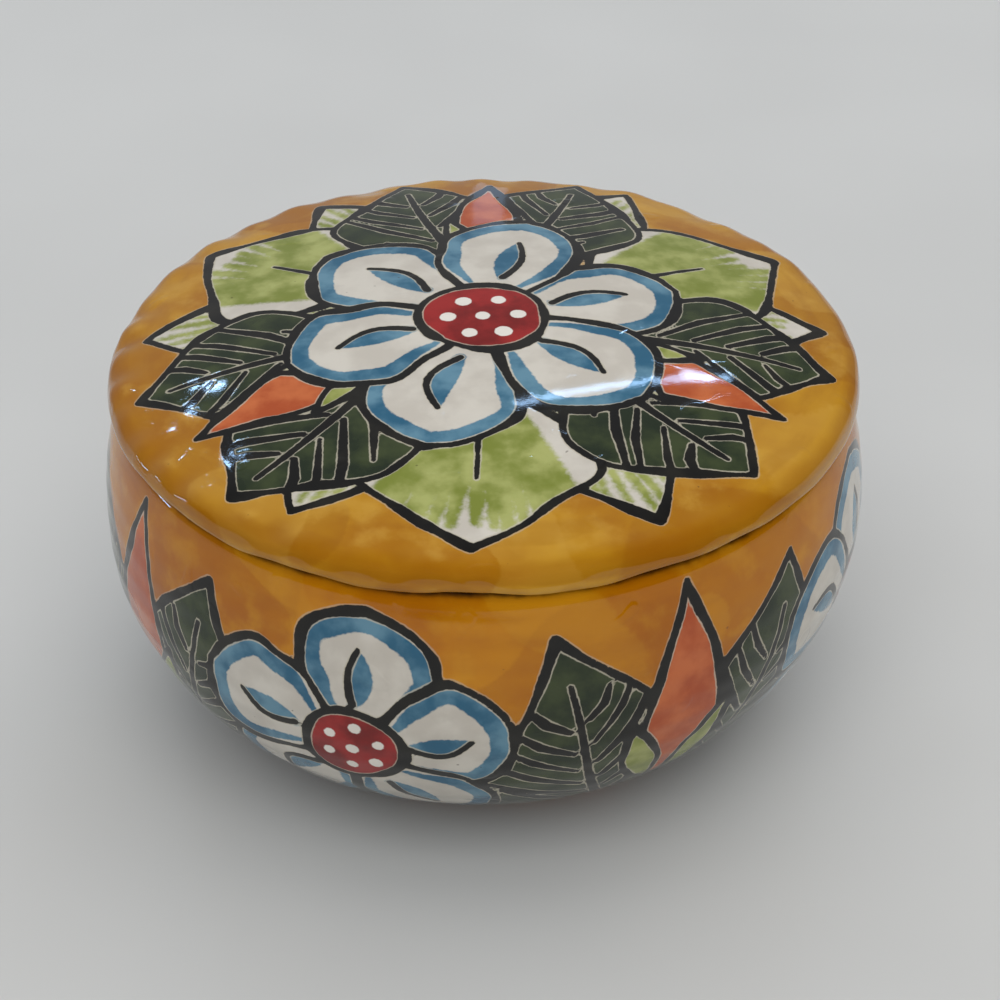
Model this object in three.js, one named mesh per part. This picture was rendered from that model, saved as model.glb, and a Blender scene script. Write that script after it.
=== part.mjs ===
// A round, squat glazed earthenware box: a bowl on a low foot ring, and a loose lid with a
// finger-crimped rim. The lid's flange drops into the bowl's mouth and keeps the lid centred.
// Units are millimetres, +Z is up, and the origin is the middle of the foot, on the table.
import * as THREE from "three";

// The bowl's outside
const bellyRadius = 77.4;
const bellyRounding = 47.2;
const shoulderRise = 62;
const bowlHeight = 77.1;
const footRadius = 40;
const footHeight = 4;
const footWidth = 7;
const footRecess = 2.2;
const footEdge = 0.9;

// The bowl's wall and mouth
const bowlWall = 6.2;
const bowlFloor = 6.6;
const rollHeight = 4.4;
const seatWidth = 3.5;
const mouthDepth = 9;
const mouthInnerEdge = 1.4;

// The lid
const seatGap = 0.3;
const lidOverhang = 0.8;
const lipDrop = 1.9;
const lipEdge = 1.2;
const sideHeight = 2.8;
const shoulderReach = 6;
const shoulderHeight = 4.1;
const domeRise = 7.4;
const lidWall = 6.6;
const flangeClearance = 1.5;
const flangeDepth = 6;
const flangeWidth = 4.4;
const flangeEdge = 1.3;

// The finger crimps round the lid's rim
const crimpCount = 40;
const crimpDepth = 0.75;
const crimpReach = 15;
const sideShare = 0.45;
const evenShare = 0.6;
const driftPerCrimp = 2.4;

// Facets
const bowlFacets = 72;
const facetsPerCrimp = 4;
const lowerSteps = 10;
const upperSteps = 4;
const rollSteps = 5;
const smallSteps = 2;
const innerSteps = 8;
const seatSteps = 3;
const lipSteps = 2;
const shoulderSteps = 5;
const domeRings = [0.97, 0.9, 0.78, 0.6, 0.38, 0.16];
const recessRings = [0.35, 0.65, 0.88, 1];

const quarter = Math.PI / 2;

// Worked out from the sizes above: the centre of the bowl's outer arcs, the round roll that
// ends its wall at the mouth, and the radii of the mouth and of the lid that covers it. The
// roll leaves the wall smoothly, in the direction the wall has there.
const sectionCentre = bellyRadius - bellyRounding;
const footAngle = Math.acos((footRadius - sectionCentre) / bellyRounding);
const bellyHeight = footHeight + bellyRounding * Math.sin(footAngle);
const belly = [sectionCentre, bellyHeight];
const rollStart = bowlHeight - rollHeight;
const wallAngle = Math.asin((rollStart - bellyHeight) / shoulderRise);
const wallRadius = sectionCentre + bellyRounding * Math.cos(wallAngle);
const wallLean = Math.atan((bellyRounding / shoulderRise) * Math.tan(wallAngle));
const rollRadius = rollHeight / (1 - Math.sin(wallLean));
const rollCentre = [
  wallRadius - rollRadius * Math.cos(wallLean),
  bowlHeight - rollRadius,
];
const mouthRadius = rollCentre[0] - seatWidth - mouthInnerEdge;
const lidRadius = wallRadius + lidOverhang;

// The rim's shoulder is part of an ellipse, and ends where it is as steep as the dome's edge.
const domeSlope = (2 * domeRise) / (lidRadius - shoulderReach);
const shoulderEnd = Math.atan2(shoulderHeight, shoulderReach * domeSlope);
const domeRadius = lidRadius - shoulderReach * (1 - Math.cos(shoulderEnd));
const sideTop = sideHeight - lipDrop;
const rimThickness = sideTop + shoulderHeight * Math.sin(shoulderEnd);

// Points on an ellipse in the half plane of a profile, from one angle to another. Angles are
// counted from the outward direction, positive upwards.
function arc(centre, reach, rise, from, to, steps) {
  const points = [];
  for (let i = 0; i <= steps; i++) {
    const angle = from + ((to - from) * i) / steps;
    points.push(
      new THREE.Vector2(
        centre[0] + reach * Math.cos(angle),
        centre[1] + rise * Math.sin(angle),
      ),
    );
  }
  return points;
}

// Neighbouring points closer than this are one point.
const samePoint = 0.02;

// A closed solid of revolution about Z. The profile runs from the axis, round the piece and
// back to the axis, with the clay on its left.
function turned(profile, facets) {
  const clean = profile.filter(
    (p, i) => i === 0 || p.distanceTo(profile[i - 1]) > samePoint,
  );
  return new THREE.LatheGeometry(clean, facets).rotateX(quarter);
}

const glaze = new THREE.MeshStandardMaterial({
  color: 0xc98a1e,
  roughness: 0.12,
  metalness: 0,
});

// The bowl. Its outside is a round arc from the foot to the belly, a taller, flatter one up the
// shoulder, and a roll over the mouth. The inside follows it at the wall's thickness.
function bowlProfile() {
  const footInner = footRadius - footWidth;
  const foot = [
    new THREE.Vector2(0, footRecess),
    new THREE.Vector2(footInner - footEdge, footRecess),
    new THREE.Vector2(footInner, footEdge),
    new THREE.Vector2(footInner + footEdge, 0),
    new THREE.Vector2(footRadius - footEdge, 0),
    new THREE.Vector2(footRadius, footEdge),
  ];
  const lower = arc(
    belly,
    bellyRounding,
    bellyRounding,
    -footAngle,
    0,
    lowerSteps,
  );
  const upper = arc(
    belly,
    bellyRounding,
    shoulderRise,
    0,
    wallAngle,
    upperSteps,
  );
  const roll = arc(
    rollCentre,
    rollRadius,
    rollRadius,
    wallLean,
    quarter,
    rollSteps,
  );
  const innerEdge = arc(
    [mouthRadius + mouthInnerEdge, bowlHeight - mouthInnerEdge],
    mouthInnerEdge,
    mouthInnerEdge,
    quarter,
    2 * quarter,
    smallSteps,
  );

  const innerReach = bellyRounding - bowlWall;
  const innerRise = shoulderRise - bowlWall;
  const floorHeight = footRecess + bowlFloor;
  const underMouth = Math.asin((bowlHeight - mouthDepth - bellyHeight) / innerRise);
  const innerUp = arc(
    belly,
    innerReach,
    innerRise,
    underMouth,
    0,
    smallSteps,
  );
  const innerDown = arc(
    belly,
    innerReach,
    bellyHeight - floorHeight,
    0,
    -quarter,
    innerSteps,
  );
  return [
    ...foot,
    ...lower,
    ...upper,
    ...roll,
    ...innerEdge,
    ...innerUp,
    ...innerDown,
    new THREE.Vector2(0, floorHeight),
  ];
}

const bowl = new THREE.Mesh(turned(bowlProfile(), bowlFacets), glaze);
bowl.name = "bowl";

// The lid. Its heights are counted from its own seat, the flat ring that lies on the bowl's
// mouth. Outside the seat it follows the roll of the mouth at the seat's gap, down to a thin
// lip. Above are the upright side, the broad round shoulder of the rim and a shallow dome; the
// flange hangs inside the mouth.
function lidProfile() {
  const flangeRadius = mouthRadius - flangeClearance;
  const flangeInner = flangeRadius - flangeWidth;
  const domeHeight = (radius) =>
    rimThickness + domeRise * (1 - (radius / domeRadius) ** 2);
  const underDome = (radius) => domeHeight(radius) - lidWall;

  const recessRadius = flangeInner - flangeEdge;
  const underside = [0, ...recessRings].map(
    (part) =>
      new THREE.Vector2(part * recessRadius, underDome(part * recessRadius)),
  );
  const flange = [
    new THREE.Vector2(flangeInner, underDome(flangeInner) - flangeEdge),
    new THREE.Vector2(flangeInner, flangeEdge - flangeDepth),
    new THREE.Vector2(flangeInner + flangeEdge, -flangeDepth),
    new THREE.Vector2(flangeRadius - flangeEdge, -flangeDepth),
    new THREE.Vector2(flangeRadius, flangeEdge - flangeDepth),
    new THREE.Vector2(flangeRadius, 0),
  ];
  const seatRadius = rollRadius + seatGap;
  const seat = arc(
    [rollCentre[0], -seatRadius],
    seatRadius,
    seatRadius,
    quarter,
    Math.asin(1 - lipDrop / seatRadius),
    seatSteps,
  );
  const lip = arc(
    [lidRadius - lipEdge, lipEdge - lipDrop],
    lipEdge,
    lipEdge,
    -quarter,
    0,
    lipSteps,
  );
  const shoulder = arc(
    [lidRadius - shoulderReach, sideTop],
    shoulderReach,
    shoulderHeight,
    0,
    shoulderEnd,
    shoulderSteps,
  );
  const dome = [...domeRings, 0].map(
    (part) =>
      new THREE.Vector2(part * domeRadius, domeHeight(part * domeRadius)),
  );
  return [
    ...underside,
    ...flange,
    ...seat,
    ...lip,
    ...shoulder,
    ...dome,
  ];
}

const share = (value) => Math.min(1, Math.max(0, value));

// Presses a ring of soft finger dents into the rim, each of its own depth. A dent is deepest on
// the rim's upper edge. It fades away inwards over the dome, and down the side to nothing at
// the height of the seat. The ridges between dents keep the full radius.
function crimp(geometry) {
  const place = geometry.getAttribute("position");
  for (let i = 0; i < place.count; i++) {
    const radius = Math.hypot(place.getX(i), place.getY(i));
    const height = place.getZ(i);
    const fade = Math.cos(share((lidRadius - radius) / crimpReach) * quarter) ** 2;
    const above = share(height / rimThickness);
    const turn = Math.atan2(place.getY(i), place.getX(i)) / (2 * Math.PI) + 1;
    const crimps = crimpCount * turn;
    const index = Math.floor(crimps) % crimpCount;
    const ownShare = evenShare + (1 - evenShare) * Math.sin(driftPerCrimp * index);
    const wave = 0.5 * (1 - Math.cos(2 * Math.PI * crimps));
    const dent = crimpDepth * ownShare * fade * wave;
    const kept = radius > 0 ? 1 - (sideShare * dent * above) / radius : 1;
    place.setXYZ(
      i,
      place.getX(i) * kept,
      place.getY(i) * kept,
      height - dent * above ** 2,
    );
  }
  return geometry;
}

const lid = new THREE.Mesh(
  crimp(turned(lidProfile(), crimpCount * facetsPerCrimp)),
  glaze.clone(),
);
lid.name = "lid";
lid.position.z = bowlHeight + seatGap;

const box = new THREE.Group();
box.name = "trinket_box";
box.add(bowl, lid);

export default box;
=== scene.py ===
import bpy
import numpy as np
from mathutils import Matrix, Vector


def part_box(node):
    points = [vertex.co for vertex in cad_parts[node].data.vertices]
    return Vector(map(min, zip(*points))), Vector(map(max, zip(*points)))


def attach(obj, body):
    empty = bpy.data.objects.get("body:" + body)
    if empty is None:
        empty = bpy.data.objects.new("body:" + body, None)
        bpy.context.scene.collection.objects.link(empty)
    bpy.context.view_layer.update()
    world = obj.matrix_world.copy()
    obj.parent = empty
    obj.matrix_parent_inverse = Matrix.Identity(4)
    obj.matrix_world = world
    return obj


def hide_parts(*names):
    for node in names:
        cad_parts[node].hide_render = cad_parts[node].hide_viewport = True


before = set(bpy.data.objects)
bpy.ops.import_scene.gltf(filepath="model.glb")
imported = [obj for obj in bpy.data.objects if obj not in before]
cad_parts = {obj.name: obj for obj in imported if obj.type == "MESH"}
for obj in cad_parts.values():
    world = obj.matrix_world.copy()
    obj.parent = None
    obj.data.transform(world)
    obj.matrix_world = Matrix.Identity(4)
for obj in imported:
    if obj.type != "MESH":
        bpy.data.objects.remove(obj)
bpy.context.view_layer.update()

# The bowl's clay. One piece of earthenware thrown on the wheel: a low foot ring, a rounded
# belly, and a mouth turned in to a thick flat seat for the lid. The wall is a little uneven,
# as the thrower's hands left it. Profiles are in millimetres, and meshes are made in metres.
MM = 0.001
quarter = np.pi / 2

belly_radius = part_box("bowl")[1].x / MM
bowl_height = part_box("bowl")[1].z / MM
belly_rounding = 47.2
shoulder_rise = 62.0
foot_radius = 40.0
foot_height = 4.0
foot_width = 7.0
foot_recess = 2.2
foot_edge = 0.9
bowl_wall = 6.2
bowl_floor = 6.6
roll_height = 4.4
seat_width = 3.5
mouth_depth = 9.0
mouth_inner_edge = 1.4
wall_swell = 0.28
throwing_depth = 0.05
throwing_pitch = 5.6
wall_inset = 0.25
sag = 0.9
sagging_height = 56.0

# How far apart the points of a profile lie, and how near to the axis its flat middles end.
bowl_columns = 640
painted_step = 0.8
roll_step = 0.7
edge_step = 0.9
inside_step = 5.0
floor_step = 8.0
recess_step = 9.0
floor_middle = 5.0
recess_middle = 6.0
same_point = 0.01

section = belly_radius - belly_rounding
foot_angle = np.arccos((foot_radius - section) / belly_rounding)
belly_height = foot_height + belly_rounding * np.sin(foot_angle)
roll_start = bowl_height - roll_height
wall_angle = np.arcsin((roll_start - belly_height) / shoulder_rise)
wall_radius = section + belly_rounding * np.cos(wall_angle)
wall_lean = np.arctan(belly_rounding / shoulder_rise * np.tan(wall_angle))
roll_radius = roll_height / (1 - np.sin(wall_lean))
roll_middle = (wall_radius - roll_radius * np.cos(wall_lean), bowl_height - roll_radius)
mouth_radius = roll_middle[0] - seat_width - mouth_inner_edge
floor_height = foot_recess + bowl_floor
foot_inner = foot_radius - foot_width


def arc(centre, reach, rise, start, end, step):
    """Points about one step apart on an ellipse in the half plane of a profile: the centre
    plus reach times the angle's cosine outwards and rise times its sine upwards."""
    count = max(3, round(abs(end - start) * max(reach, rise) / step) + 1)
    angle = np.linspace(start, end, count)
    return np.stack([centre[0] + reach * np.cos(angle), centre[1] + rise * np.sin(angle)], 1)


def straight(start, end, step):
    """Points about one step apart on the straight way from start to end."""
    way = np.subtract(end, start)
    share = np.linspace(0, 1, max(2, round(np.hypot(*way) / step) + 1))
    return start + share[:, None] * way


def joined(*stretches):
    """One profile from stretches that meet end to end, without the doubled points."""
    profile = np.concatenate(stretches)
    apart = np.hypot(*np.diff(profile, axis=0).T) > same_point
    return profile[np.concatenate([[True], apart])]


def turned(profile, columns):
    """The profile swung round Z, as a grid of row by column points: radius times the cosine
    and sine of the column's turn, and height. The profile's two ends lie on the axis, and are
    left out."""
    turn = np.linspace(0, 2 * np.pi, columns, endpoint=False)
    radius, height = profile[1:-1, :1], profile[1:-1, 1:]
    return np.stack([radius * np.cos(turn), radius * np.sin(turn), height + 0 * turn], 2)


def swell(points, sizes, depth, seed):
    """Smooth unevenness, mostly within plus or minus depth: a sum of sine waves that run in
    random directions, with wavelengths between the two sizes."""
    rng = np.random.default_rng(seed)
    waves = 16
    total = np.zeros(points.shape[:-1])
    for _ in range(waves):
        way = rng.normal(size=points.shape[-1])
        way *= 2 * np.pi / (np.linalg.norm(way) * rng.uniform(*sizes))
        total += np.sin(points @ way + rng.uniform(0, 2 * np.pi))
    return depth * total / np.sqrt(2 * waves)


def clay_body(name, grid):
    """A closed mesh from a turned grid: quads between the rows, and a fan of triangles from
    the first and the last row to the middle of that row, on the axis."""
    rows, columns = grid.shape[:2]
    index = np.arange(rows * columns).reshape(rows, columns)
    beside = np.roll(index, -1, axis=1)
    quads = np.stack([index[:-1], beside[:-1], beside[1:], index[1:]], 2).reshape(-1, 4)
    middles = np.full((2, columns), rows * columns) + [[0], [1]]
    first_fan = np.stack([middles[0], beside[0], index[0]], 1)
    last_fan = np.stack([middles[1], index[-1], beside[-1]], 1)
    points = np.concatenate([grid.reshape(-1, 3), [grid[0].mean(0), grid[-1].mean(0)]]) * MM
    mesh = bpy.data.meshes.new(name)
    mesh.from_pydata(points, [], quads.tolist() + first_fan.tolist() + last_fan.tolist())
    mesh.shade_smooth()
    piece = bpy.data.objects.new(name, mesh)
    bpy.context.scene.collection.objects.link(piece)
    return piece


belly = (section, belly_height)
underside_of_bowl = joined(
    [(0, foot_recess)],
    straight((recess_middle, foot_recess), (foot_inner - foot_edge, foot_recess), recess_step),
    straight((foot_inner, foot_edge), (foot_inner + foot_edge, 0), edge_step),
    straight((foot_radius - foot_edge, 0), (foot_radius, foot_edge), edge_step),
)
outside_of_bowl = joined(
    straight((foot_radius, foot_edge), (foot_radius, foot_height), painted_step),
    arc(belly, belly_rounding, belly_rounding, -foot_angle, 0, painted_step),
    arc(belly, belly_rounding, shoulder_rise, 0, wall_angle, painted_step),
    arc(roll_middle, roll_radius, roll_radius, wall_lean, quarter, roll_step),
)
inside_rise = shoulder_rise - bowl_wall
inside_reach = belly_rounding - bowl_wall
under_mouth = np.arcsin((bowl_height - mouth_depth - belly_height) / inside_rise)
inner_edge_middle = (mouth_radius + mouth_inner_edge, bowl_height - mouth_inner_edge)
inside_of_bowl = joined(
    arc(inner_edge_middle, mouth_inner_edge, mouth_inner_edge, quarter, 2 * quarter, edge_step),
    arc(belly, inside_reach, inside_rise, under_mouth, 0, inside_step),
    arc(belly, inside_reach, belly_height - floor_height, 0, -quarter, inside_step),
    straight((section, floor_height), (floor_middle, floor_height), floor_step),
    [(0, floor_height)],
)
bowl_profile = joined(underside_of_bowl, outside_of_bowl, inside_of_bowl)

# The outside's rows in the grid: the grid lacks the profile's first point, on the axis, and the
# profile lacks the doubled one where the underside ends.
first_outside = len(underside_of_bowl) - 2
bowl_rows = slice(first_outside, first_outside + len(outside_of_bowl))

# Between foot and mouth the wall swells and shrinks, and carries fine throwing lines. It lies a
# little inside the turned profile, and the belly sags to the left by half a sine wave squared.
bowl_grid = turned(bowl_profile, bowl_columns)
true_height = bowl_grid[..., 2]
between_rings = np.sin(np.pi * np.clip(true_height / bowl_height, 0, 1)) ** 0.6
push = swell(bowl_grid, (28, 75), wall_swell, seed=11) * between_rings
drift = swell(bowl_grid, (40, 90), 1.2, seed=12)
throwing_lines = throwing_depth * np.sin(2 * np.pi * true_height / throwing_pitch + drift)
push += throwing_lines * between_rings
radius_of_bowl = np.hypot(bowl_grid[..., 0], bowl_grid[..., 1])
shaped_bowl = bowl_grid.copy()
shaped_bowl[..., :2] *= (1 + (push - wall_inset) / np.maximum(radius_of_bowl, 1))[..., None]
shaped_bowl[..., 0] -= sag * np.sin(np.pi * np.clip(true_height / sagging_height, 0, 1)) ** 2
painted_bowl = clay_body("painted_bowl", shaped_bowl)

# The bowl's painting. The clay is dipped in off-white tin glaze. Blossoms, dark leaves, coral
# buds and pale leaves are drawn on it with a waxy black line and filled in by brush. Each paint
# is a field of distances to its edge, in millimetres, negative inside, cut off at its reach.
paints = ("ink", "white", "blue", "green", "lime", "coral", "red", "dot")
field_reach = 4.0
line_width = 1.8
band_inside = 2.6
band_half_width = 1.75
petal_overlap = 4.15
heart_share = 0.29
heart_dots = 6
vein_spacing = 6.8
lime_strokes = 15


def to_outline(points, outline):
    """Distance from each point to a closed outline, negative inside. Inside is where a level
    ray from the point crosses the outline an odd number of times."""
    start = outline
    way = np.roll(outline, -1, axis=0) - start
    off = points[:, None] - start
    share = np.clip((off * way).sum(2) / (way**2).sum(1), 0, 1)
    gap = np.linalg.norm(off - share[..., None] * way, axis=2).min(1)
    spans = (off[..., 1] >= 0) != (off[..., 1] >= way[:, 1])
    rise = np.where(way[:, 1] == 0, 1, way[:, 1])
    crossed = spans & (off[..., 0] < off[..., 1] / rise * way[:, 0])
    return np.where(crossed.sum(1) % 2 == 1, -gap, gap)


def to_stroke(points, path, width):
    """Distance from each point to the edge of a brush stroke: the distance to the nearest
    place on its path, less half the width of the stroke at that place."""
    start, way = path[:-1], np.diff(path, axis=0)
    off = points[:, None] - start
    share = np.clip((off * way).sum(2) / (way**2).sum(1), 0, 1)
    gap = np.linalg.norm(off - share[..., None] * way, axis=2)
    return (gap - 0.5 * (width[:-1] + share * np.diff(width))).min(1)


def lay(fields, near, cover, **fills):
    """Paints a motif over the older ones. Inside its cover each older field is cut away, and
    then every fill is joined to the field of its paint."""
    for name in paints:
        fields[name][near] = np.maximum(fields[name][near], -cover)
    for name, fill in fills.items():
        fields[name][near] = np.minimum(fields[name][near], fill)


def outlined(points, cover, width, rng):
    """The black line on a motif's edge: the distance to the edge, less half a width that
    thins by up to a fifth and swells by up to a half as the trailer was pressed."""
    press = swell(points, (8, 26), 0.55, rng.integers(1 << 30))
    return np.abs(cover) - 0.5 * width * (1 + np.clip(press, -0.2, 0.5))


def blade(length, width, fullest, blunt, drawn_out, bend, rng):
    """The outline of a leaf or petal from its base at the origin to its tip at (0, length).
    Half its width follows the sine of pi t to the power p, raised to blunt, where p makes it
    widest at fullest, times one minus drawn_out times the fourth power of t, which sharpens
    its tip. It bends sideways as half a sine wave, and its edges wander a little."""
    t = np.linspace(0, 1, 32)
    half = 0.5 * width * np.sin(np.pi * t ** (np.log(0.5) / np.log(fullest))) ** blunt
    half *= 1 - drawn_out * t**4
    middle = bend * np.sin(np.pi * t)
    harmonic = np.arange(2, 7)[:, None]
    waves = np.sin(np.pi * t) * np.sin(harmonic * np.pi * t)
    wander = rng.uniform(-0.018, 0.018, (2, 5)) * width @ waves
    right = np.stack([middle + half + wander[0], t * length], 1)
    left = np.stack([middle - half + wander[1], t * length], 1)
    return np.concatenate([right, left[-2:0:-1]])


def seen_from(points, place, turn):
    """The points as a motif at place sees them: the way it grows, at turn from the surface's
    first direction, is its second direction, and its first lies to the right of that."""
    off = points - np.asarray(place)
    right = off @ [np.sin(turn), -np.cos(turn)]
    return np.stack([right, off @ [np.cos(turn), np.sin(turn)]], 1)


def within(local, length, width):
    """The points that a motif of this size, or its fields, can reach."""
    margin = field_reach + 2
    along = (local[:, 1] > -margin) & (local[:, 1] < length + margin)
    return np.flatnonzero(along & (np.abs(local[:, 0]) < width / 2 + margin))


def petal(fields, points, place, turn, length, width, rng):
    """A petal: tin white with a blue band inside its line, which is brushed from the base up
    with a growing width, and a blue flame up the middle with a thin black line on one side."""
    local = seen_from(points, place, turn)
    near = within(local, length, 1.3 * width)
    p = local[near]
    bend = rng.uniform(-0.05, 0.05) * width
    outline = blade(length, width, fullest=0.64, blunt=0.62, drawn_out=0, bend=bend, rng=rng)
    cover = to_outline(p, outline)
    press = swell(p, (7, 22), 0.5, rng.integers(1 << 30))
    grown = np.clip((p[:, 1] / length - 0.15) / 0.35, 0.2, 1)
    half_width = band_half_width * grown * (1 + 0.25 * press)
    band = np.abs(cover + band_inside + 0.25 * press) - half_width
    t = np.linspace(0, 1, 9)
    side = rng.choice([-1, 1])
    flame_path = np.stack([bend * np.sin(np.pi * t) + 0.6 * side, length * (0.36 + 0.38 * t)], 1)
    flame = to_stroke(p, flame_path, 0.17 * width * np.sin(np.pi * (0.16 + 0.8 * t)))
    edge_path = flame_path + np.stack([0.1 * side * width * np.sin(np.pi * t), 0 * t], 1)
    edge = to_stroke(p, edge_path, 1.7 - 0.5 * t)
    blue = np.maximum(np.minimum(band, flame), cover + 0.2)
    ink = np.minimum(outlined(p, cover, line_width, rng), edge)
    lay(fields, near, cover, white=cover, blue=blue, ink=ink)


def blossom(fields, points, place, turn, radius, petals, rng):
    """An open blossom: petals laid over one another in a ring, every second one first, and a
    red heart, its circle uneven by two sine waves, with a ring of white dots round one more."""
    width = petal_overlap * radius / petals
    for k in [*range(0, petals, 2), *range(1, petals, 2)]:
        lean = turn + 2 * np.pi * k / petals + rng.uniform(-0.06, 0.06)
        reach = radius * rng.uniform(0.93, 1.03)
        petal(fields, points, place, lean, reach, width * rng.uniform(0.95, 1.05), rng)
    heart = heart_share * radius
    local = seen_from(points, place, turn)
    near = np.flatnonzero(np.hypot(*local.T) < heart + field_reach + 2)
    p = local[near]
    angle = np.arctan2(p[:, 1], p[:, 0])
    uneven = 0.35 * np.sin(3 * angle + 1.1) + 0.3 * np.sin(2 * angle)
    cover = np.hypot(*p.T) - heart - uneven
    ways = turn + np.arange(heart_dots) * 2 * np.pi / heart_dots
    ring = 0.56 * heart * np.stack([np.cos(ways), np.sin(ways)], 1)
    spots = np.concatenate([[[0, 0]], ring]) + rng.uniform(-0.3, 0.3, (heart_dots + 1, 2))
    sizes = rng.uniform(0.034, 0.042, heart_dots + 1) * radius
    dots = (np.linalg.norm(p[:, None] - spots, axis=2) - sizes).min(1)
    lay(fields, near, cover, red=cover, dot=dots, ink=outlined(p, cover, line_width, rng))


def dark_leaf(fields, points, place, turn, length, width, bend, rng):
    """A dark leaf: deep green, with a black midrib and loose black strokes for its veins. A
    vein leaves the midrib on either side every few millimetres, and runs outwards and up."""
    local = seen_from(points, place, turn)
    near = within(local, length, width + 2 * abs(bend))
    p = local[near]
    outline = blade(length, width, fullest=0.46, blunt=0.85, drawn_out=0.5, bend=bend, rng=rng)
    cover = to_outline(p, outline)
    t = np.linspace(0, 0.86, 12)
    ink = to_stroke(p, np.stack([bend * np.sin(np.pi * t), length * t], 1), 2.5 - 1.5 * t)
    for side in (-1, 1):
        for up in np.arange(0.08, 0.74, vein_spacing / length) + rng.uniform(-0.01, 0.02):
            room = 0.5 * width * np.sin(np.pi * (up + 0.13)) ** 0.92 - 2.4
            reach = max(room, 1.5) * rng.uniform(0.72, 0.98)
            foot = np.array([bend * np.sin(np.pi * up) + 1.9 * side, length * up])
            tip = foot + reach * np.array([side, rng.uniform(1.0, 1.45)])
            tip[0] += bend * (np.sin(np.pi * min(tip[1] / length, 1)) - np.sin(np.pi * up))
            knee = (foot + tip) / 2 + [0.6 * side, -0.6]
            press = rng.uniform(0.8, 1.2)
            vein = to_stroke(p, np.array([foot, knee, tip]), press * np.array([1.2, 1.9, 1.1]))
            ink = np.minimum(ink, vein)
    ink = np.minimum(np.maximum(ink, cover + 0.4), outlined(p, cover, line_width, rng))
    lay(fields, near, cover, green=cover, ink=ink)


def pale_leaf(fields, points, place, turn, length, width, bend, rng):
    """A pale leaf: tin white, with lime brushed up from its base in a fan of tapering strokes,
    and a short black midrib."""
    local = seen_from(points, place, turn)
    near = within(local, length, width + 2 * abs(bend))
    p = local[near]
    outline = blade(length, width, fullest=0.5, blunt=0.8, drawn_out=0.45, bend=bend, rng=rng)
    cover = to_outline(p, outline)
    t = np.linspace(0, 1, 6)
    lime = np.full(len(p), field_reach)
    fan = np.linspace(-0.62, 0.62, lime_strokes)
    for lean in fan + rng.uniform(-0.02, 0.02, lime_strokes):
        reach = length * rng.uniform(0.8, 1.0)
        path = np.stack([bend * np.sin(np.pi * t) + np.sin(lean) * reach * t, reach * t], 1)
        lime = np.minimum(lime, to_stroke(p, path, 0.18 * width * (1.12 - 0.85 * t)))
    rib = np.stack([bend * np.sin(0.6 * np.pi * t), 0.6 * length * t], 1)
    ink = np.maximum(to_stroke(p, rib, 1.7 - 0.8 * t), cover + 0.4)
    ink = np.minimum(ink, outlined(p, cover, line_width, rng))
    lay(fields, near, cover, white=cover, lime=np.maximum(lime, cover + 0.2), ink=ink)


def bud(fields, points, place, turn, length, width, rng):
    """A bud: a coral drop, held by two small lime sepals."""
    local = seen_from(points, place, turn)
    near = within(local, length, 1.6 * width)
    p = local[near]
    bend = rng.uniform(-0.6, 0.6)
    drop = blade(length, width, fullest=0.42, blunt=0.95, drawn_out=0.3, bend=bend, rng=rng)
    cover = to_outline(p, drop)
    lay(fields, near, cover, coral=cover, ink=outlined(p, cover, line_width, rng))
    size = (0.5 * length, 0.42 * width)
    for side in (-1, 1):
        aside = seen_from(p, (0.12 * side * width, 0), quarter - 0.35 * side)
        sepal = blade(*size, fullest=0.5, blunt=0.9, drawn_out=0.4, bend=0, rng=rng)
        cover = to_outline(aside, sepal)
        lay(fields, near, cover, lime=cover, ink=outlined(p, cover, 0.85 * line_width, rng))


def put_paint(piece, grid, rows, fields, bare, pooling_and_shade, gap_shade):
    """Stores the fields on the piece's points. The rows of the painted side get theirs, the
    rest is tin white without any paint. The clay field tells where it was wiped bare. The next
    field, from 0 to 1, tells where the ochre turns amber: where glaze gathered in hollows, and
    on the lid's shoulder as painted shade. The last tells where a dark band is painted round
    the gap between bowl and lid, as painted shade. The brushing is a place on a drum of one
    radius, with the way along the clay as its height, so a pattern in it runs round."""
    whole = {name: np.full(grid.shape[:2], field_reach) for name in paints}
    whole["white"][:] = -field_reach
    for name in paints:
        whole[name][rows] = fields[name].reshape(whole[name][rows].shape)
    whole["clay"] = bare
    whole["pooling_and_shade"] = pooling_and_shade
    whole["gap_shade"] = gap_shade
    for name, field in whole.items():
        ends = [field[0].mean(), field[-1].mean()]
        attribute = piece.data.attributes.new(name, "FLOAT", "POINT")
        attribute.data.foreach_set("value", np.clip([*field.ravel(), *ends], -field_reach, field_reach))
    radius = np.hypot(grid[..., 0], grid[..., 1])
    steps = np.hypot(np.diff(radius[:, 0]), np.diff(grid[:, 0, 2]))
    along = np.concatenate([[0], np.cumsum(steps)])[:, None] + 0 * radius
    drum = belly_radius * grid[..., :2] / radius[..., None]
    brushing = np.concatenate([drum, along[..., None]], 2).reshape(-1, 3)
    ends = [[0, 0, along[0, 0]], [0, 0, along[-1, 0]]]
    attribute = piece.data.attributes.new("brushing", "FLOAT_VECTOR", "POINT")
    attribute.data.foreach_set("vector", np.concatenate([brushing, ends]).ravel() * MM)


# Four clusters of leaves with a bud on top stand between four blossoms, and a row of low pale
# leaves runs round under them all. Heights are counted from the foot, up along the clay, and
# the azimuths of the first cluster and blossom are in degrees.
motifs_round = 4
first_cluster = 28
first_blossom = 73
blossom_height = 56.0
blossom_radius = 34.0
blossom_petals = 5
cluster_base = 13.0
side_leaf_lean = 1.15
side_leaf_size = (50.0, 27.0)
dark_leaf_leans = (-0.8, 0.8, -0.33, 0.33)
dark_leaf_width = 44.0
bud_rise = 22.0
bud_size = (54.0, 17.0)
low_leaves = 20
low_leaf_base = 7.0
low_leaf_width = 17.0
wiped_seat = 2.4
wiped_depth = 0.8
wiped_foot = 1.1
gap_shade_drop = 1.7
gap_shade_half_width = 0.7
hollow_depth = 0.3

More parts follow.
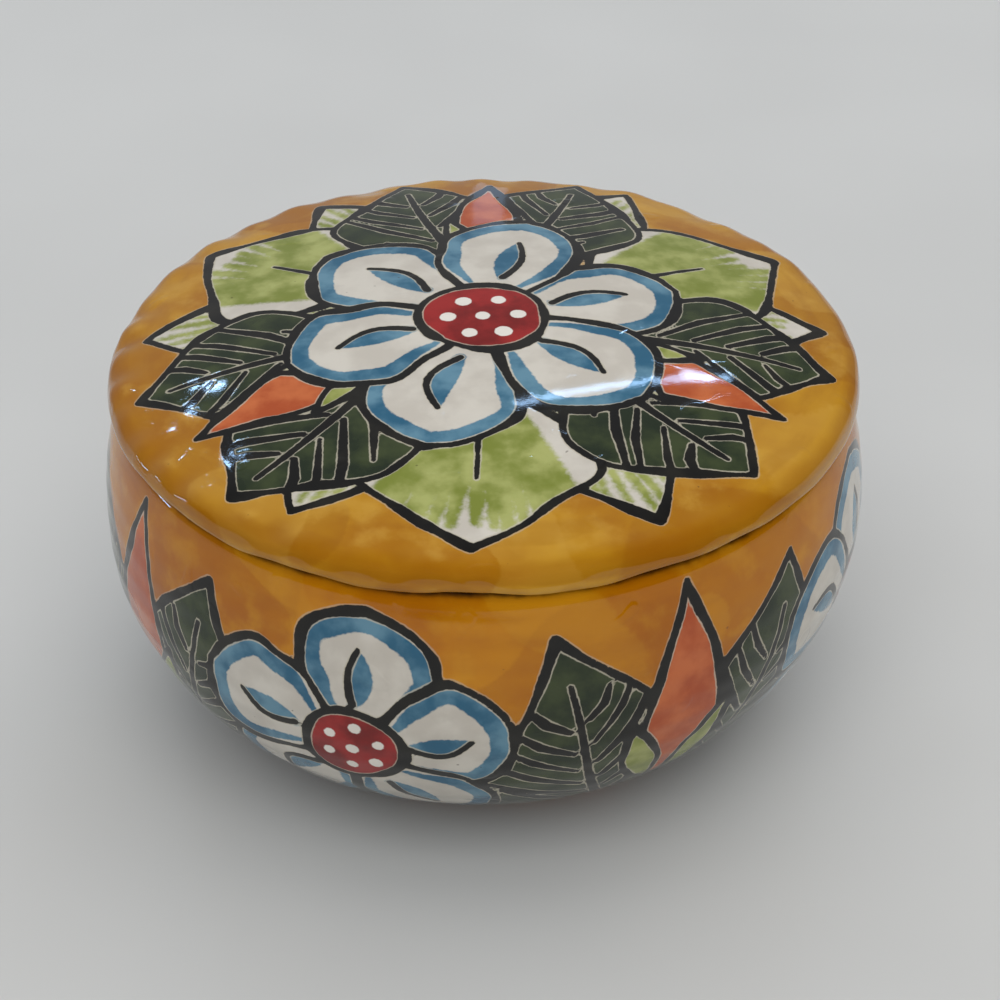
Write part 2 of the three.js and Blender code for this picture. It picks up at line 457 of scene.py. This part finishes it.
outside = bowl_grid[bowl_rows]
run = np.hypot(*np.diff(outside_of_bowl, axis=0).T)
up_the_side = np.concatenate([[0], np.cumsum(run)])[:, None] + np.zeros(bowl_columns)
turn_of_column = np.arctan2(outside[..., 1], outside[..., 0])
reach_of_point = radius_of_bowl[bowl_rows]
bowl_fields = {name: np.full(outside[..., 0].size, field_reach) for name in paints}


def facing_side(azimuth):
    """The bowl's outside unrolled round an azimuth: the way round it times the radius there,
    and the way up along the clay."""
    aside = (turn_of_column - azimuth + np.pi) % (2 * np.pi) - np.pi
    return np.stack([(aside * reach_of_point).ravel(), up_the_side.ravel()], 1)


rng = np.random.default_rng(5)
for k in range(low_leaves):
    side = facing_side(k * 2 * np.pi / low_leaves + rng.uniform(-0.02, 0.02))
    size = (rng.uniform(27, 33), low_leaf_width)
    pale_leaf(bowl_fields, side, (0, low_leaf_base), quarter, *size, rng.uniform(-1, 1), rng)
round_the_bowl = 360 / motifs_round * np.arange(motifs_round)
for azimuth in np.radians(first_cluster + round_the_bowl):
    side = facing_side(azimuth + rng.uniform(-0.03, 0.03))
    for hand in (-1, 1):
        place = (6 * hand, cluster_base)
        turn = quarter - hand * side_leaf_lean
        pale_leaf(bowl_fields, side, place, turn, *side_leaf_size, 2 * hand, rng)
    for lean in dark_leaf_leans:
        hand = np.sign(lean)
        place = (2 * hand, cluster_base)
        length = rng.uniform(80, 84) - 20 * np.abs(lean)
        size = (length, dark_leaf_width)
        dark_leaf(bowl_fields, side, place, quarter - lean, *size, 3 * hand, rng)
    turn = quarter + rng.uniform(-0.06, 0.06)
    bud(bowl_fields, side, (0, cluster_base + bud_rise), turn, *bud_size, rng)
for azimuth in np.radians(first_blossom + round_the_bowl):
    side = facing_side(azimuth + rng.uniform(-0.04, 0.04))
    turn = quarter + rng.uniform(-0.25, 0.25)
    blossom(bowl_fields, side, (0, blossom_height), turn, blossom_radius, blossom_petals, rng)

# The seat and the foot were wiped bare. Just below the mouth, in the gap under the lid's lip,
# # a dark band is painted shade.
past_seat = np.abs(radius_of_bowl - roll_middle[0]) - wiped_seat
bare_seat = np.maximum(past_seat, bowl_height - wiped_depth - true_height)
bare_foot = np.maximum(true_height - wiped_foot, foot_inner - 1 - radius_of_bowl)
bare = np.minimum(bare_seat, bare_foot)
# On the bowl the amber field is only glaze gathered where the wall is pushed in.
pooling_and_shade = np.clip(-push / hollow_depth, 0, 1)
# Painted shade: a dark band round the gap under the lid's lip.
gap_shade = np.abs(true_height - bowl_height + gap_shade_drop) - gap_shade_half_width
gap_shade = np.maximum(gap_shade, roll_middle[0] - radius_of_bowl)
put_paint(painted_bowl, bowl_grid, bowl_rows, bowl_fields, bare, pooling_and_shade, gap_shade)

# The glaze. Ochre is brushed thinly round the motifs and over the rim, so that it runs from
# honey to amber, and a very glossy clear glaze covers it all. The wax of the black lines keeps
# the colours off, which leaves a pale thread along each line. Heights of relief are in metres.
thread_tone = (192, 184, 164)
gloss_roughness = 0.04
clay_roughness = 0.85
paint_thickness = 0.000009
ripple_height = 0.000016
speck_height = 0.00006
grain_height = 0.000003


def tone(red, green, blue):
    """A paint's colour, from the 0 to 255 values that a screen shows: a power of 2.4 of each,
    and a straight line near black."""
    screen = np.array([red, green, blue]) / 255
    return (*np.where(screen <= 0.04045, screen / 12.92, ((screen + 0.055) / 1.055) ** 2.4), 1.0)


class Brushwork:
    """The few kinds of node that the finishes are mixed from, each with its inputs joined."""

    def __init__(self, material):
        material.use_nodes = True
        self.tree = material.node_tree
        self.tree.nodes.clear()

    def add(self, kind, inputs, **settings):
        """A node with these settings, whose inputs get a value or another node's output."""
        node = self.tree.nodes.new("ShaderNode" + kind)
        for name, value in settings.items():
            setattr(node, name, value)
        for name, source in inputs.items():
            if isinstance(source, bpy.types.NodeSocket):
                self.tree.links.new(source, node.inputs[name])
            else:
                node.inputs[name].default_value = source
        return node

    def sum(self, a, b):
        """a plus b."""
        return self.add("Math", {0: a, 1: b}, operation="ADD").outputs[0]

    def times(self, a, b):
        """a times b."""
        return self.add("Math", {0: a, 1: b}, operation="MULTIPLY").outputs[0]

    def cloud(self, place, per_metre, detail=3.0):
        """Soft noise from 0 to 1, with about so many lumps to a metre."""
        noise = self.add("TexNoise", {"Vector": place, "Scale": per_metre, "Detail": detail})
        return noise.outputs["Fac"]

    def ramp(self, value, low, high, start=0.0, end=1.0):
        """Rises smoothly from start to end as the value goes from low to high."""
        inputs = {"Value": value, "From Min": low, "From Max": high, "To Min": start, "To Max": end}
        return self.add("MapRange", inputs, interpolation_type="SMOOTHSTEP").outputs[0]

    def mix(self, share, a, b):
        """Colour a where the share is 0, colour b where it is 1."""
        return self.add("Mix", {0: share, 6: a, 7: b}, data_type="RGBA").outputs[2]

    def field(self, paint):
        """The distance to the edge of a paint, or another value stored on the points."""
        return self.add("Attribute", {}, attribute_name=paint).outputs["Fac"]


def painted_glaze(name, amber, deep, honey, pale):
    """The whole finish of a piece, with four tones of ochre: clouds of the deep one and of
    honey, two soft washes over them, pale where the ochre lies thin and amber where it
    gathered, and on the lid's shoulder amber as painted shade. Each paint's field, moved a
    little by noise, is a mask that lays two tones of the paint over what is there."""
    material = bpy.data.materials.new(name)
    brush = Brushwork(material)
    place = brush.add("TexCoord", {}).outputs["Object"]
    drum = brush.add("Attribute", {}, attribute_name="brushing").outputs["Vector"]
    level = brush.add("Mapping", {"Vector": drum, "Scale": (1, 1, 4)}).outputs[0]
    ragged = brush.sum(brush.cloud(place, 950, 2), -0.5)
    wander = brush.sum(brush.cloud(place, 260, 2), -0.5)
    cloud = brush.cloud(place, 42, 4)
    pool = brush.cloud(place, 130, 4)
    streak = brush.cloud(level, 45, 4)
    grain = brush.cloud(place, 2000, 2)

    pooling_and_shade = brush.field("pooling_and_shade")
    colour = brush.mix(brush.ramp(cloud, 0.36, 0.62), tone(*deep), tone(*honey))
    for per_metre, wash_tone in ((31, amber), (38, pale)):
        wash = brush.sum(brush.cloud(place, per_metre, 0.6), brush.times(ragged, 0.02))
        colour = brush.mix(brush.ramp(wash, 0.52, 0.54, 0.0, 0.32), colour, tone(*wash_tone))
    thin = brush.ramp(brush.sum(pool, brush.times(pooling_and_shade, -0.3)), 0.46, 0.72)
    colour = brush.mix(brush.times(thin, 0.5), colour, tone(*pale))
    colour = brush.mix(brush.ramp(streak, 0.46, 0.66, 0.0, 0.25), colour, tone(*amber))
    # Amber where glaze pooled, and on the lid's shoulder amber as painted shade.
    amber_pooling_and_shade = brush.sum(brush.sum(pooling_and_shade, brush.times(pool, 0.7)), -0.45)
    colour = brush.mix(brush.ramp(amber_pooling_and_shade, 0.0, 0.7, 0.0, 0.4), colour, tone(*amber))

    # Each paint's darker and lighter tone, and how soft and how ragged its edge is.
    covered = 0.0
    for paint, dark, light, soft, rough in (
        ("white", (196, 189, 177), (210, 204, 192), 0.3, 0.3),
        ("lime", (122, 132, 52), (170, 174, 104), 1.5, 1.7),
        ("green", (28, 40, 22), (58, 68, 38), 0.3, 0.3),
        ("coral", (172, 76, 34), (198, 106, 58), 0.3, 0.3),
        ("blue", (40, 94, 122), (98, 140, 160), 0.45, 0.7),
        ("red", (116, 14, 12), (156, 32, 30), 0.3, 0.3),
        ("dot", (228, 222, 212), (232, 226, 216), 0.3, 0.3),
    ):
        edge = brush.sum(brush.field(paint), brush.times(ragged, rough))
        mask = brush.ramp(edge, -soft / 2, soft / 2, 1.0, 0.0)
        brushed = brush.mix(brush.ramp(pool, 0.36, 0.68), tone(*dark), tone(*light))
        colour = brush.mix(mask, colour, brushed)
        covered = brush.add("Math", {0: covered, 1: mask}, operation="MAXIMUM").outputs[0]

    # The black lines, with a pale thread of uneven width beside them, and stray dark specks.
    wobble = brush.sum(brush.times(ragged, 0.3), brush.times(wander, 0.5))
    to_line = brush.sum(brush.field("ink"), wobble)
    thread_width = brush.ramp(wander, -0.2, 0.2, 0.08, 0.3)
    past_thread = brush.sum(to_line, brush.times(thread_width, -1.0))
    thread = brush.ramp(past_thread, -0.08, 0.14, 1.0, 0.0)
    strength = brush.ramp(covered, 0.0, 1.0, 0.45, 0.75)
    colour = brush.mix(brush.times(thread, strength), colour, tone(*thread_tone))
    line = brush.ramp(to_line, -0.1, 0.1, 1.0, 0.0)
    black = brush.mix(brush.ramp(pool, 0.4, 0.75), tone(9, 8, 6), tone(30, 28, 22))
    colour = brush.mix(line, colour, black)
    speck = brush.times(brush.ramp(brush.cloud(place, 620, 1), 0.79, 0.83), 0.5)
    colour = brush.mix(speck, colour, tone(60, 44, 26))

    # A dark band of painted shade in the gap between bowl and lid, and the clay wiped bare.
    gap_shade_mask = brush.ramp(brush.sum(brush.field("gap_shade"), wander), -0.5, 0.7, 1.0, 0.0)
    colour = brush.mix(gap_shade_mask, colour, tone(40, 20, 6))
    bare = brush.ramp(brush.sum(brush.field("clay"), wander), -0.25, 0.25, 1.0, 0.0)
    clay = brush.mix(brush.ramp(grain, 0.3, 0.7), tone(178, 116, 80), tone(206, 150, 112))
    colour = brush.mix(bare, colour, clay)

    # The colours lie a little thicker than the lines. The glaze over them is faintly rippled
    # and grained, with a small raised speck here and there.
    thick = brush.ramp(to_line, -0.3, 0.7, 0.0, paint_thickness)
    ripple = brush.times(brush.cloud(place, 90), ripple_height)
    raised = brush.ramp(brush.cloud(place, 170, 0), 0.72, 0.8, 0.0, speck_height)
    relief = brush.sum(brush.sum(thick, ripple), raised)
    height = brush.sum(relief, brush.times(grain, grain_height))
    bump = brush.add("Bump", {"Height": height, "Strength": 1.0, "Distance": 1.0}).outputs[0]
    finish = {
        "Base Color": colour,
        "Roughness": brush.ramp(bare, 0.0, 1.0, gloss_roughness, clay_roughness),
        "Normal": bump,
        "IOR": 1.5,
        "Specular IOR Level": 0.42,
    }
    shader = brush.add("BsdfPrincipled", finish)
    brush.add("OutputMaterial", {"Surface": shader.outputs[0]})
    return material


bowl_ochres = ((154, 84, 0), (176, 103, 1), (195, 126, 6), (206, 144, 26))
painted_bowl.data.materials.append(painted_glaze("bowl_painting", *bowl_ochres))
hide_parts("bowl")
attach(painted_bowl, "bowl")

# The lid's clay. A second thrown piece: a shallow dome, a flat rim that lies on the bowl's
# seat, and a flange below it that keeps the lid centred. Its rim was pressed all round between
# finger and thumb while the clay was soft, so no two dents are quite alike.
seat_gap = 0.3
seat_height = bowl_height + seat_gap
lid_overhang = 0.8
lip_drop = 1.9
lip_edge = 1.2
side_height = 2.8
shoulder_reach = 6.0
shoulder_height = 4.1
dome_rise = 7.4
lid_wall = 6.6
flange_clearance = 1.5
flange_depth = 6.0
flange_width = 4.4
flange_edge = 1.3
flange_fillet = 0.4
crimps = 40
crimp_depth = 0.75
crimp_reach = 10.0
side_share = 0.8
lip_share = 0.4
groove_height = 1.4
groove_width = 1.3
groove_depth = 0.14
lip_lift = 0.8
lid_swell = 0.24
rim_lumps = 0.3
lid_inset = 0.3

# How far apart the points of the lid's profile lie.
lid_columns = 15 * crimps
lid_middle = 5.0
dome_step = 0.62
shoulder_step = 0.6
lip_step = 0.5
flange_step = 2.5
flange_inner_step = 2.0
seat_step = 3.5

lid_radius = wall_radius + lid_overhang
dome_slope = 2 * dome_rise / (lid_radius - shoulder_reach)
shoulder_end = np.arctan2(shoulder_height, shoulder_reach * dome_slope)
dome_radius = lid_radius - shoulder_reach * (1 - np.cos(shoulder_end))
side_top = side_height - lip_drop
rim_thickness = side_top + shoulder_height * np.sin(shoulder_end)
lip_radius = lid_radius - lip_edge
seat_radius = roll_radius + seat_gap
flange_radius = mouth_radius - flange_clearance
flange_inner = flange_radius - flange_width


def dome(radius):
    """The height of the lid's top over its seat: a parabola from the rim to the middle."""
    return rim_thickness + dome_rise * (1 - (radius / dome_radius) ** 2)


recess_radii = np.linspace(lid_middle, flange_inner - flange_edge, 13)
inner_corner = (flange_inner, dome(flange_inner) - lid_wall - flange_edge)
inner_foot = (flange_inner + flange_edge, flange_edge - flange_depth)
outer_foot = (flange_radius - flange_edge, flange_edge - flange_depth)
underside_of_lid = joined(
    [(0, dome(0) - lid_wall)],
    np.stack([recess_radii, dome(recess_radii) - lid_wall], 1),
    straight(inner_corner, (flange_inner, inner_foot[1]), flange_inner_step),
    arc(inner_foot, flange_edge, flange_edge, -2 * quarter, -quarter, edge_step),
    arc(outer_foot, flange_edge, flange_edge, -quarter, 0, edge_step),
    straight((flange_radius, outer_foot[1]), (flange_radius, 0), flange_step),
    straight((flange_radius + flange_fillet, 0), (roll_middle[0], 0), seat_step),
)
seat_end = np.arcsin(1 - lip_drop / seat_radius)
shoulder = (lid_radius - shoulder_reach, side_top)
dome_radii = np.arange(dome_radius, 0.5, -dome_step)
top_of_lid = joined(
    arc((roll_middle[0], -seat_radius), seat_radius, seat_radius, quarter, seat_end, edge_step),
    arc((lip_radius, lip_edge - lip_drop), lip_edge, lip_edge, -quarter, 0, lip_step),
    straight((lid_radius, lip_edge - lip_drop), (lid_radius, side_top), shoulder_step),
    arc(shoulder, shoulder_reach, shoulder_height, 0, shoulder_end, shoulder_step),
    np.stack([dome_radii, dome(dome_radii)], 1),
    [(0, dome(0))],
)
lid_profile = joined(underside_of_lid, top_of_lid)
lid_rows = slice(len(underside_of_lid) - 1, len(lid_profile) - 2)
lid_grid = turned(lid_profile, lid_columns)


def dents(grid):
    """How deep each point lies in its crimp, in millimetres: half the depth of that crimp
    times one minus the cosine of the turn, counted in crimps. It fades inwards as a squared
    cosine over the reach. Spacing and depth differ from crimp to crimp, and the depth grows
    by the cosine of the turn from the right, where it is least, to the left."""
    turn = np.arctan2(grid[..., 1], grid[..., 0])
    rim = lid_radius * np.stack([np.cos(turn), np.sin(turn)], 2)
    phase = crimps * turn + swell(rim, (35, 110), 1.3, seed=21)
    depths = crimp_depth * np.random.default_rng(22).uniform(0.4, 1.3, crimps)
    depth = depths[np.floor(phase / (2 * np.pi)).astype(int) % crimps]
    depth = depth * (0.55 - 0.35 * np.cos(turn))
    radius = np.hypot(grid[..., 0], grid[..., 1])
    fade = np.cos(np.clip((lid_radius - radius) / crimp_reach, 0, 1) * quarter) ** 2
    return 0.5 * depth * fade * (1 - np.cos(phase))


def groove_share(grid):
    """How much of the groove's depth each point has: on the side, a bell round the groove's
    height, which is the exponential of minus the square of the way from there in widths."""
    on_side = np.clip((np.hypot(grid[..., 0], grid[..., 1]) - lip_radius) / lip_edge, 0, 1)
    return on_side * np.exp(-(((grid[..., 2] - groove_height) / groove_width) ** 2))


def pressed(grid):
    """The lid as the fingers left it: the radius less the dent's share at the side and the
    groove, and the height less the dent. The lip rises under a dent and in a swell of its own,
    so that it hangs in a wavy line. The top is gently uneven, most of all near the rim, where
    flat lumps stand up, and the rim lies a little inside the turned profile."""
    radius = np.hypot(grid[..., 0], grid[..., 1])
    height = grid[..., 2]
    rim = lid_radius * grid[..., :2] / radius[..., None]
    above = np.sin(quarter * np.clip(height / rim_thickness, 0, 1))
    dent = dents(grid)
    groove = groove_depth * groove_share(grid) * (1 + swell(rim, (18, 50), 0.7, seed=25))
    under = np.clip((height + lip_drop) / (rim_thickness + lip_drop), 0, 1)
    past_seat = np.clip((radius - roll_middle[0] - 1) / 2.5, 0, 1)
    wave = np.clip(0.45 + swell(rim, (14, 40), 0.9, seed=23), -0.15, 1.1)
    lifted = (lip_lift * wave + lip_share * dent) * past_seat * (1 - under)
    outer = 0.3 + 0.7 * (radius / lid_radius) ** 2
    uneven = swell(grid, (30, 90), lid_swell, seed=24) * above * outer
    near_rim = np.clip((radius - lid_radius + 12) / 10, 0, 1)
    near_rim = near_rim**2 * (3 - 2 * near_rim)
    lump = swell(rim, (17, 50), rim_lumps, seed=26) * near_rim * above
    inwards = side_share * dent * above + groove + lid_inset * above - 0.6 * uneven - lump
    kept = 1 - near_rim * inwards / radius
    down = dent * above**2 + lid_inset * above - uneven - lump - lifted
    return np.stack([grid[..., 0] * kept, grid[..., 1] * kept, height - down], 2)


shaped_lid = pressed(lid_grid) + [0, 0, seat_height]
painted_lid = clay_body("painted_lid", shaped_lid)

# The lid's painting. One open blossom covers the middle. Round it stand three pairs of dark
# leaves with a coral bud in each, three broad pale leaves between the pairs, and slim pale
# leaves under them all. The underside is tin white, and the flange and the seat wiped bare.
lid_blossom_radius = 43.0
lid_blossom_turn = 0.3
lid_petals = 6
leaf_base = 25.0
slim_leaf_width = 27.0
broad_leaf_width = 45.0
paired_leaf_width = 39.0
paired_leaf_lean = 0.31
lid_bud_width = 14.0
bare_margin = 2.0
bare_below = 0.5
gap_shade_below = -0.3
gap_shade_reach = 1.9
edge_reach = 4.0
pooling_and_shade_share = 0.8


def leaf_foot(way):
    """Where a leaf that grows this way starts, under the blossom: the radius of the leaves'
    bases times the cosine and sine of the way."""
    return leaf_base * np.array([np.cos(way), np.sin(way)])


lid_top = lid_grid[lid_rows][..., :2].reshape(-1, 2)
lid_fields = {name: np.full(len(lid_top), field_reach) for name in paints}
rng = np.random.default_rng(9)
for azimuth in np.radians([0, 60, 120, 180, 240, 300]):
    way = azimuth + rng.uniform(-0.06, 0.06)
    size = (rng.uniform(42, 45), slim_leaf_width)
    pale_leaf(lid_fields, lid_top, leaf_foot(way), way, *size, rng.uniform(-2, 2), rng)
for azimuth in np.radians([30, 150, 270]):
    way = azimuth + rng.uniform(-0.05, 0.05)
    size = (rng.uniform(42, 45), broad_leaf_width)
    pale_leaf(lid_fields, lid_top, leaf_foot(way), way, *size, rng.uniform(-1, 1), rng)
for azimuth in np.radians([90, 210, 330]):
    way = azimuth + rng.uniform(-0.05, 0.05)
    for lean in (-paired_leaf_lean, paired_leaf_lean):
        foot = leaf_foot(way + 0.7 * lean)
        size = (rng.uniform(43, 45.5), paired_leaf_width)
        dark_leaf(lid_fields, lid_top, foot, way + lean, *size, 1.5 * np.sign(-lean), rng)
    size = (rng.uniform(38, 41), lid_bud_width)
    bud(lid_fields, lid_top, leaf_foot(way), way, *size, rng)
blossom(lid_fields, lid_top, (0, 0), lid_blossom_turn, lid_blossom_radius, lid_petals, rng)

# Below the lip the lid was wiped bare, out to a dark band of painted shade in the gap. Ochre
# # gathered in the dents and the groove, and the shoulder's edge is darkened as painted shade.
lid_reach = np.hypot(lid_grid[..., 0], lid_grid[..., 1])
lid_height = lid_grid[..., 2]
inside_lip = np.maximum(lid_reach - lip_radius + bare_margin, flange_inner + 0.6 - lid_reach)
bare_lid = np.maximum(lid_height - bare_below, inside_lip)
lid_pooling_and_shade = np.maximum(dents(lid_grid) / crimp_depth, pooling_and_shade_share * groove_share(lid_grid))
# Painted shade: the shoulder's outer edge darkened to amber, so the rim looks round.
shoulder_shade = np.clip((lid_reach - lid_radius + edge_reach) / 3, 0, 1)
shoulder_shade *= lid_height > groove_height
lid_pooling_and_shade = np.maximum(lid_pooling_and_shade, pooling_and_shade_share * shoulder_shade)
# Painted shade: a dark band round the gap under the lip.
lid_gap_shade = np.abs(lid_reach - lip_radius + bare_margin) - gap_shade_reach
lid_gap_shade = np.maximum(lid_height - gap_shade_below, lid_gap_shade)
put_paint(painted_lid, lid_grid, lid_rows, lid_fields, bare_lid, lid_pooling_and_shade, lid_gap_shade)

lid_ochres = ((144, 84, 8), (168, 109, 14), (187, 134, 26), (206, 160, 64))
painted_lid.data.materials.append(painted_glaze("lid_painting", *lid_ochres))
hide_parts("lid")
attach(painted_lid, "lid")

# The table. A large sheet of plain pale grey paper, on which the box stands. Far from the box
# # it fades into the pale air of the room. Far in front it is painted dark in the gloss alone: a
# # painted reflection of a dark room.
table_reach = 2.5
haze_from = 0.5
haze_to = 1.8
pale_grey = (200, 200, 198)

table_mesh = bpy.data.meshes.new("table")
table_corners = table_reach * np.array([(-1, -1, 0), (1, -1, 0), (1, 1, 0), (-1, 1, 0)])
table_mesh.from_pydata(table_corners, [], [(0, 1, 2, 3)])
table = bpy.data.objects.new("table", table_mesh)
bpy.context.scene.collection.objects.link(table)
paper = bpy.data.materials.new("pale_paper")
brush = Brushwork(paper)
place = brush.add("TexCoord", {}).outputs["Object"]
mottle = brush.ramp(brush.cloud(place, 9, 2), 0.3, 0.7)
paper_colour = brush.mix(mottle, tone(205, 205, 202), tone(209, 209, 206))
# Painted reflection: in the gloss alone the paper far in front is dark, for a dark room.
to_front = brush.add("SeparateXYZ", {"Vector": place}).outputs["Y"]
in_gloss = brush.add("LightPath", {}).outputs["Is Glossy Ray"]
shade = brush.times(in_gloss, brush.ramp(to_front, -0.7, -0.6, 0.9, 0.0))
paper_colour = brush.mix(shade, paper_colour, tone(40, 38, 36))
matt = {"Base Color": paper_colour, "Roughness": 0.6, "Specular IOR Level": 0.15}
paper_shader = brush.add("BsdfPrincipled", matt)
far_off = brush.add("VectorMath", {0: place}, operation="LENGTH").outputs["Value"]
seen = brush.add("LightPath", {}).outputs["Is Camera Ray"]
haze = brush.times(seen, brush.ramp(far_off, haze_from, haze_to))
pale_air = brush.add("Emission", {"Color": tone(*pale_grey), "Strength": 1.0}).outputs[0]
sheet = brush.add("MixShader", {0: haze, 1: paper_shader.outputs[0], 2: pale_air})
brush.add("OutputMaterial", {"Surface": sheet.outputs[0]})
table_mesh.materials.append(paper)

# The light. A pale room, one wide soft lamp overhead and one in front. The rest are bluish and
# small, for the gloss: a tube behind gives the lid its streak, panes behind at the left its
# sparkles, and a far window behind and a low pane at the left the gleams on the rim.
pane_strength = 150
bluish = (0.4, 0.65, 1.0)
plain_white = (1.0, 1.0, 1.0)

world = bpy.data.worlds.new("pale_room")
room = Brushwork(world)
way_out = room.add("SeparateXYZ", {"Vector": room.add("TexCoord", {}).outputs["Generated"]})
mirrored = room.ramp(way_out.outputs["Y"], -0.2, 0.75, 0.04, 0.36)
mirrored = room.times(mirrored, room.ramp(way_out.outputs["X"], 0.1, 0.5, 1.0, 0.45))
soft = room.ramp(way_out.outputs["Z"], 0.0, 0.5, 0.43, 0.5)
in_gloss = room.add("LightPath", {}).outputs["Is Glossy Ray"]
paleness = room.add("Mix", {0: in_gloss, 2: soft, 3: mirrored}, data_type="FLOAT").outputs[0]
walls = room.add("Background", {"Color": (0.98, 0.99, 1.02, 1), "Strength": paleness})
seen = room.add("LightPath", {}).outputs["Is Camera Ray"]
backdrop = room.add("Background", {"Color": tone(*pale_grey), "Strength": 1.0})
air = room.add("MixShader", {0: seen, 1: walls.outputs[0], 2: backdrop.outputs[0]})
room.add("OutputWorld", {"Surface": air.outputs[0]})
bpy.context.scene.world = world
bpy.context.scene.view_settings.view_transform = "Standard"


def lamp(name, place, aim, size, watts, along=(1, 0, 0), in_gloss=True):
    """A soft lamp that looks from its place towards aim. Its first size lies along the given
    direction, and its second across it, in metres: across is the way back from the aim crossed
    with along, and the lamp's own three directions are across crossed with back, across, and
    back. A lamp that isn't mirrored in the gloss is plain white."""
    light = bpy.data.lights.new(name, "AREA")
    light.shape = "RECTANGLE"
    light.size, light.size_y = size
    light.energy = watts
    back = (Vector(place) - Vector(aim)).normalized()
    across = back.cross(Vector(along)).normalized()
    holder = bpy.data.objects.new(name, light)
    turned_to_aim = Matrix((across.cross(back), across, back)).transposed().to_4x4()
    holder.matrix_world = Matrix.Translation(place) @ turned_to_aim
    holder.visible_glossy = in_gloss
    light.color = bluish if in_gloss else plain_white
    bpy.context.scene.collection.objects.link(holder)


lamp("overhead", (0.25, 0.5, 1.6), (0, 0, 0), (2.0, 2.0), 10, in_gloss=False)
lamp("front_fill", (0.0, -1.1, 1.5), (0, 0, 0.05), (1.6, 1.0), 11, in_gloss=False)
tube_way = (0.24, 0.06, -0.106)
lamp("tube", (0.165, 0.735, 0.715), (0.02, -0.02, 0.085), (0.27, 0.011), 0.16, tube_way)
lamp("tube_end", (0.25, 0.763, 0.674), (0.03, -0.02, 0.085), (0.035, 0.022), 0.045)

# Each pane's place, width and height, in metres. All of them look at the crimps at the left.
left_crimps = (-0.05, -0.02, 0.085)
for place, wide, high in (
    ((-0.32, 0.757, 0.655), 0.026, 0.012),
    ((-0.348, 0.761, 0.639), 0.012, 0.007),
    ((-0.356, 0.723, 0.675), 0.01, 0.01),
    ((-0.337, 0.601, 0.788), 0.014, 0.01),
    ((-0.305, 0.645, 0.766), 0.018, 0.008),
    ((-0.40, 0.69, 0.687), 0.012, 0.012),
):
    lamp("pane", place, left_crimps, (wide, high), pane_strength * wide * high)
lamp("far_window", (0.01, 1.05, 0.27), (-0.005, 0.05, 0.085), (0.03, 0.2), 0.012)
low_way = (-0.29, -0.956, 0)
lamp("low_pane", (-1.01, 0.25, 0.155), (-0.06, -0.04, 0.074), (0.25, 0.03), 0.6, low_way)

# The camera. It stands in front of the box and looks down on it at the photograph's angle,
# with the slight tilt of a picture taken by hand. Its lens is in millimetres, on a sensor as
# wide as small film.
eye = Vector((0.0, -0.4430, 0.3546))
aim = Vector((0.0031, 0.0, 0.0446))
tilt = np.radians(-0.4)

forward = (aim - eye).normalized()
level_right = forward.cross(Vector((0, 0, 1))).normalized()
level_up = level_right.cross(forward)
right = level_right * np.cos(tilt) + level_up * np.sin(tilt)
up = level_up * np.cos(tilt) - level_right * np.sin(tilt)
lens = bpy.data.cameras.new("camera")
lens.lens = 93.6
lens.sensor_width = 36
camera = bpy.data.objects.new("camera", lens)
camera.matrix_world = Matrix.Translation(eye) @ Matrix((right, up, -forward)).transposed().to_4x4()
bpy.context.scene.collection.objects.link(camera)
bpy.context.scene.camera = camera
